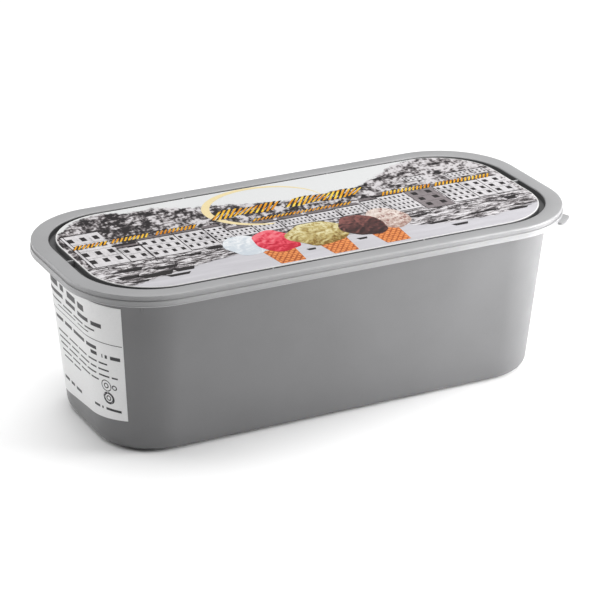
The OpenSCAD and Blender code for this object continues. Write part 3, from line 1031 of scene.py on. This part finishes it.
class TUB_OT_bars(bpy.types.Operator):
    """Model the plain gold bars and the pale arc where a pack carries its words"""
    bl_idname = "ice_cream_tub.bars"
    bl_label = "Gold Bars"
    bl_options = {"REGISTER", "UNDO"}

    def execute(self, context):
        s, looks = context.scene.card_sizes, context.scene.finishes
        ring = open_piece("PaleArc")
        add_circle(1, 96)
        add_circle(ARC_INNER, 96, ARC_INNER_AT)
        bridge(ring, 0)
        pick_all()
        bpy.ops.mesh.bisect(plane_co=ARC_CUT_AT, plane_no=ARC_CUT_NORMAL, clear_outer=True)
        pick_all()
        bpy.ops.transform.resize(value=ARC_SIZE, center_override=(0, 0, 0))
        bpy.ops.transform.translate(value=ARC_AT)
        print_shape(s, ring, 2, ink("pale gold", looks.halo, 0.05))
        f = Finish("gold ink", 0.34)
        shine = f.noise(0.16, 3, 0.5, where=f.stretched(0.5, 1))
        shine = f.ramp(shine, [(0.36, linear(222, 138, 20)), (0.5, looks.gold), (0.66, linear(255, 222, 84))])
        gold, black = f.colour(shine, PRINT_STRENGTH).material, bpy.data.materials["engraving black"]
        bars = [(x, y, BAR_WIDTH, h + BAR_WAVE * (math.sin(0.21 * (x - left)) - 1))
                for left, right, y, h in GOLD_BARS for x in range(left, right + 1, BAR_STEP)]
        lines = [(x, y, LINE_WIDTH, h)
                 for left, right, y, h in GOLD_LINES for x in range(left, right + 1, LINE_STEP)]
        for name, strokes, lean in (("GoldBars", bars, BAR_LEAN), ("GoldLines", lines, LINE_LEAN)):
            for suffix, number, grow, finish in (("Edge", 3, EDGE, black), ("", 4, 0, gold)):
                shape = flat_shape(name + suffix)
                pick(shape, lambda co: co.y > 0)
                bpy.ops.transform.translate(value=(lean, 0, 0))
                pick_all()
                bpy.ops.transform.translate(value=(-lean / 2, 0, 0))
                bpy.ops.mesh.bevel(offset=0.16, segments=3, affect="VERTICES")
                places = [(x, y, w + grow * 0.7, h + grow) for x, y, w, h in strokes]
                print_shape(s, shape, number, finish, places)
        return {"FINISHED"}


# ---------------------------------------------------------------- end label

def corner_plane(tub, place):
    """Upright plane (point, outward normal) at a distance round the tub's end, from its middle.

    A distance is measured along the flat part and then round the corner, where it stands for
    an angle at MARK_RADIUS; it is positive towards the back.
    """
    base, _ = tub_wall(tub)
    flat = base[1] / 2 - base[2]
    if abs(place) <= flat:
        return (0, place, 0), (0, math.copysign(1, place), 0)
    side, turn = math.copysign(1, place), (abs(place) - flat) / MARK_RADIUS
    return (base[2] - base[0] / 2, side * flat, 0), (math.sin(turn), side * math.cos(turn), 0)


def wall_strip(context, name, low, high, start, stop, lift, thick, slant=0.0):
    """A strip of the tub's end wall between two heights and two places, with its thickness."""
    tub = context.scene.tub_sizes
    base, _ = tub_wall(tub)
    rise = 5
    heights = [low + (high - low) * i / rise for i in range(rise + 1)]
    piece = loft(name, grown(base, [(wall_offset(tub, z) + lift, z) for z in heights]), False, False)
    pick_all()
    bpy.ops.mesh.normals_make_consistent(inside=False)
    cuts = [((0, 0, 0), (1, 0, 0))]
    for place, outward in ((start, start < 0), (stop, stop >= 0)):
        point, normal = corner_plane(tub, place)
        cuts.append((point, normal if outward else tuple(-n for n in normal)))
    if slant:
        level = context.scene.label_sizes.low
        cuts.append(((0, 0, level), (0, -math.sin(slant), -math.cos(slant))))
    for point, normal in cuts:
        pick_all()
        bpy.ops.mesh.bisect(plane_co=point, plane_no=normal, clear_outer=True)
    leave_edit(piece)
    thicken(piece, thick)
    smooth_faces()
    return piece


def wall_mark(context, name, place, z, radii):
    """A ring laid on the label at a place round the end's front corner, as circles of these radii."""
    tub, label = context.scene.tub_sizes, context.scene.label_sizes
    base, _ = tub_wall(tub)
    piece = open_piece(name)
    for radius in radii:
        add_circle(radius, 32)
    for index in range(len(radii) - 1):
        bridge(piece, index)
    pick_all()
    bpy.ops.mesh.normals_make_consistent(inside=False)
    leave_edit(piece)
    turn = (abs(place) - (base[1] / 2 - base[2])) / MARK_RADIUS
    stand_off = 3 * MM
    out = base[2] + wall_offset(tub, z) + stand_off
    centre = Vector((base[2] - base[0] / 2, base[2] - base[1] / 2, z))
    spot = centre - Vector((math.cos(turn), math.sin(turn), 0)) * out
    put(piece, turn=(0, -math.pi / 2, 0))
    put(piece, spot, (0, 0, turn))
    bpy.ops.object.modifier_add(type="SHRINKWRAP")
    wrap = piece.modifiers[-1]
    wrap.target, wrap.offset = bpy.data.objects["EndLabel"], MARK_LIFT
    wrap.wrap_method, wrap.wrap_mode = "PROJECT", "ABOVE_SURFACE"
    wrap.use_project_x, wrap.use_positive_direction, wrap.use_negative_direction = True, True, False
    bpy.ops.object.modifier_apply(modifier=wrap.name)
    thicken(piece, 1.5 * label.ink)
    return piece


class TUB_OT_label(bpy.types.Operator):
    """Model the paper label on the end wall and round its two corners"""
    bl_idname = "ice_cream_tub.label"
    bl_label = "End Label"
    bl_options = {"REGISTER", "UNDO"}

    def execute(self, context):
        s, tub, looks = context.scene.label_sizes, context.scene.tub_sizes, context.scene.finishes
        base, _ = tub_wall(tub)
        reach = base[1] / 2 - base[2] + s.wrap * MARK_RADIUS
        low = s.low - math.tan(abs(s.slant)) * base[1] / 2
        piece = wall_strip(context, "EndLabel", low, s.top, -reach, reach, 0, s.thick, s.slant)
        belong(piece, paper("label paper", looks.paper), "label_paper", "end_label")
        return {"FINISHED"}


# Plain bars where the label has its print: a row's lower and upper edge, then where each of its bars
# starts and stops round the end, in millimetres
LABEL_BARS = (
    (88.5, 91.5, -44, -34), (88.9, 91.9, -31, -16), (89.4, 92.4, -12, 4), (90, 93, 9, 33),
    (95, 99.5, -27, -18), (95.4, 100, -14, 0), (96, 100.5, 6, 12), (96.4, 101, 16, 30),
    (84.4, 85.6, -37, -26), (84.6, 85.8, -23, -8), (84.8, 86, -5, 10), (85, 86.2, 13, 30),
    (81.6, 82.4, -30, -14), (81.8, 82.6, -10, 20), (78, 78.5, -59, 59),
    (71.2, 73.8, -37, -25, -22, -4, -1, 11, 14, 27),
    (67, 69.6, -37, -30, -42.5, -41.5, -46.5, -44.5, -57, -49),
    (62, 63.2, -46, -38, -36, -26, -23, -10, -8, 6, 9, 26),
    (57.4, 58.6, -47, -37, -35, -28, -26, -12, -9, 3, 6, 25),
    (53, 54.2, -54, -49, -47, -37, -34, -22, -20, -8, -5, 9, 12, 24),
    (48.6, 49.8, -36, -27, -25, -11, -8, 4, 7, 22), (44.2, 45.4, -8, 3, 6, 20), (28, 29.8, -34, -27),
    (28.1, 29.9, -38, -36.4), (28.2, 30, -55, -41), (25.6, 27.8, -4, 5), (25.8, 28, 8, 14),
    (26, 28.2, 17, 26),
)

# Rings on the label: place round the end, height, and the radii of their circles, in millimetres
LABEL_RINGS = (
    (-41.8, 46.6, (4.2, 3.5)), (-41.8, 46.6, (2.0, 1.2)), (-48.6, 46.4, (1.9, 1.1)),
    (-43.0, 37.6, (4.5, 3.7, 2.9)), (-43.0, 37.6, (2.0, 1.2)),
)


class TUB_OT_label_print(bpy.types.Operator):
    """Model the label's print as plain bars and rings"""
    bl_idname = "ice_cream_tub.label_print"
    bl_label = "Label Print"
    bl_options = {"REGISTER", "UNDO"}

    def execute(self, context):
        s, looks = context.scene.label_sizes, context.scene.finishes
        made = [
            wall_strip(context, "LabelBars", low * MM, high * MM, start * MM, stop * MM, s.thick, s.ink)
            for low, high, *ends in LABEL_BARS for start, stop in zip(ends[::2], ends[1::2])
        ]
        for place, z, radii in LABEL_RINGS:
            made.append(wall_mark(context, "LabelRings", place * MM, z * MM, [r * MM for r in radii]))
        belong(joined(made), ink("label black", looks.toner, 0.2), "label_paper")
        return {"FINISHED"}


# ---------------------------------------------------------------- stage

def floor_finish(colour):
    """Pale studio floor with a barely uneven tone."""
    f = Finish("pale floor", 0.9, specular=0.1)
    f.colour(f.ramp(f.noise(0.004, 3, 0.5), [(0.3, scaled(colour, 0.99)), (0.7, scaled(colour, 1.01))]))
    return f.material


# Softboxes: name, where it stands, where it looks, width and depth in metres, and its power's name
SOFTBOXES = (
    ("SideLight", (0.44, -0.32, 0.2), (0.16, -0.05, 0.08), 0.34, 0.3, "side_power"),
    ("EndLight", (-0.66, 0.42, 0.3), (0, 0, 0.06), 0.4, 0.4, "end_power"),
    ("TopLight", (0.45, 0.4, 2.2), (0.45, 0.4, 0), 3.4, 2.6, "top_power"),
)
FLOOR_SIZE, FLOOR_AT = 16, (0, 2, 0)
SENSOR = 36                 # width of the camera's sensor in millimetres
NEAR, FAR = 0.05, 50        # what the camera sees, in metres


def soft_light(name, place, aim, width, depth, watts):
    """A softbox that looks at a point."""
    clear_selection()
    bpy.ops.object.light_add(type="AREA", location=place)
    lamp = bpy.context.object
    lamp.name = name
    lamp.data.shape, lamp.data.size, lamp.data.size_y, lamp.data.energy = "RECTANGLE", width, depth, watts
    lamp.rotation_euler = (Vector(aim) - Vector(place)).to_track_quat("-Z", "Y").to_euler()


class TUB_OT_stage(bpy.types.Operator):
    """Set the pale floor, the soft lights and the camera"""
    bl_idname = "ice_cream_tub.stage"
    bl_label = "Stage"
    bl_options = {"REGISTER", "UNDO"}

    def execute(self, context):
        s, scene = context.scene.stage_settings, context.scene
        clear_selection()
        bpy.ops.mesh.primitive_plane_add(size=FLOOR_SIZE, location=FLOOR_AT)
        floor = bpy.context.object
        floor.name = "Floor"
        floor.data.materials.append(floor_finish(s.floor))
        for *box, power in SOFTBOXES:
            soft_light(*box, getattr(s, power))
        world = bpy.data.worlds.new("EvenLight")
        world.use_nodes = True
        even = world.node_tree.nodes["Background"].inputs
        even["Color"].default_value, even["Strength"].default_value = (1, 1, 1, 1), s.ambient
        scene.world = world
        scene.view_settings.view_transform = "Standard"
        clear_selection()
        bpy.ops.object.camera_add(location=s.camera)
        camera = bpy.context.object
        camera.data.lens, camera.data.sensor_width = s.lens, SENSOR
        camera.data.clip_start, camera.data.clip_end = NEAR, FAR
        a, e, r = s.azimuth, s.elevation, s.roll
        back = Vector((math.sin(a) * math.cos(e), -math.cos(a) * math.cos(e), math.sin(e)))
        right = Vector((math.cos(a), math.sin(a), 0))
        up = back.cross(right)
        across = math.cos(r) * right + math.sin(r) * up
        upright = math.cos(r) * up - math.sin(r) * right
        camera.rotation_euler = Matrix((across, upright, back)).transposed().to_euler()
        scene.camera = camera
        return {"FINISHED"}


# ---------------------------------------------------------------- panel and registration

STEPS = (TUB_OT_body, TUB_OT_lugs, TUB_OT_lid, TUB_OT_ribs, TUB_OT_tab, TUB_OT_card, TUB_OT_town,
         TUB_OT_scoops, TUB_OT_bars, TUB_OT_label, TUB_OT_label_print, TUB_OT_stage)


class TUB_PT_panel(bpy.types.Panel):
    """Buttons for the tub's pieces, in the order in which they are made"""
    bl_idname = "TUB_PT_panel"
    bl_label = "Ice Cream Tub"
    bl_space_type = "VIEW_3D"
    bl_region_type = "UI"
    bl_category = "Ice Cream Tub"

    def draw(self, context):
        for step in STEPS:
            self.layout.operator(step.bl_idname)


GROUPS = (
    ("tub_sizes", TubSizes), ("lid_sizes", LidSizes), ("card_sizes", CardSizes),
    ("label_sizes", LabelSizes), ("finishes", Finishes), ("stage_settings", Stage),
)


def register():
    for name, group in GROUPS:
        bpy.utils.register_class(group)
        setattr(bpy.types.Scene, name, PointerProperty(type=group))
    for step in STEPS:
        bpy.utils.register_class(step)
    bpy.utils.register_class(TUB_PT_panel)


def unregister():
    bpy.utils.unregister_class(TUB_PT_panel)
    for step in reversed(STEPS):
        bpy.utils.unregister_class(step)
    for name, group in reversed(GROUPS):
        delattr(bpy.types.Scene, name)
        bpy.utils.unregister_class(group)


def main():
    register()
    bpy.ops.ice_cream_tub.body()
    bpy.ops.ice_cream_tub.lugs()
    bpy.ops.ice_cream_tub.lid()
    bpy.ops.ice_cream_tub.ribs()
    bpy.ops.ice_cream_tub.tab()
    bpy.ops.ice_cream_tub.card()
    bpy.ops.ice_cream_tub.town()
    bpy.ops.ice_cream_tub.scoops()
    bpy.ops.ice_cream_tub.bars()
    bpy.ops.ice_cream_tub.label()
    bpy.ops.ice_cream_tub.label_print()
    bpy.ops.ice_cream_tub.stage()
    clear_selection()


if __name__ == "__main__":
    main()
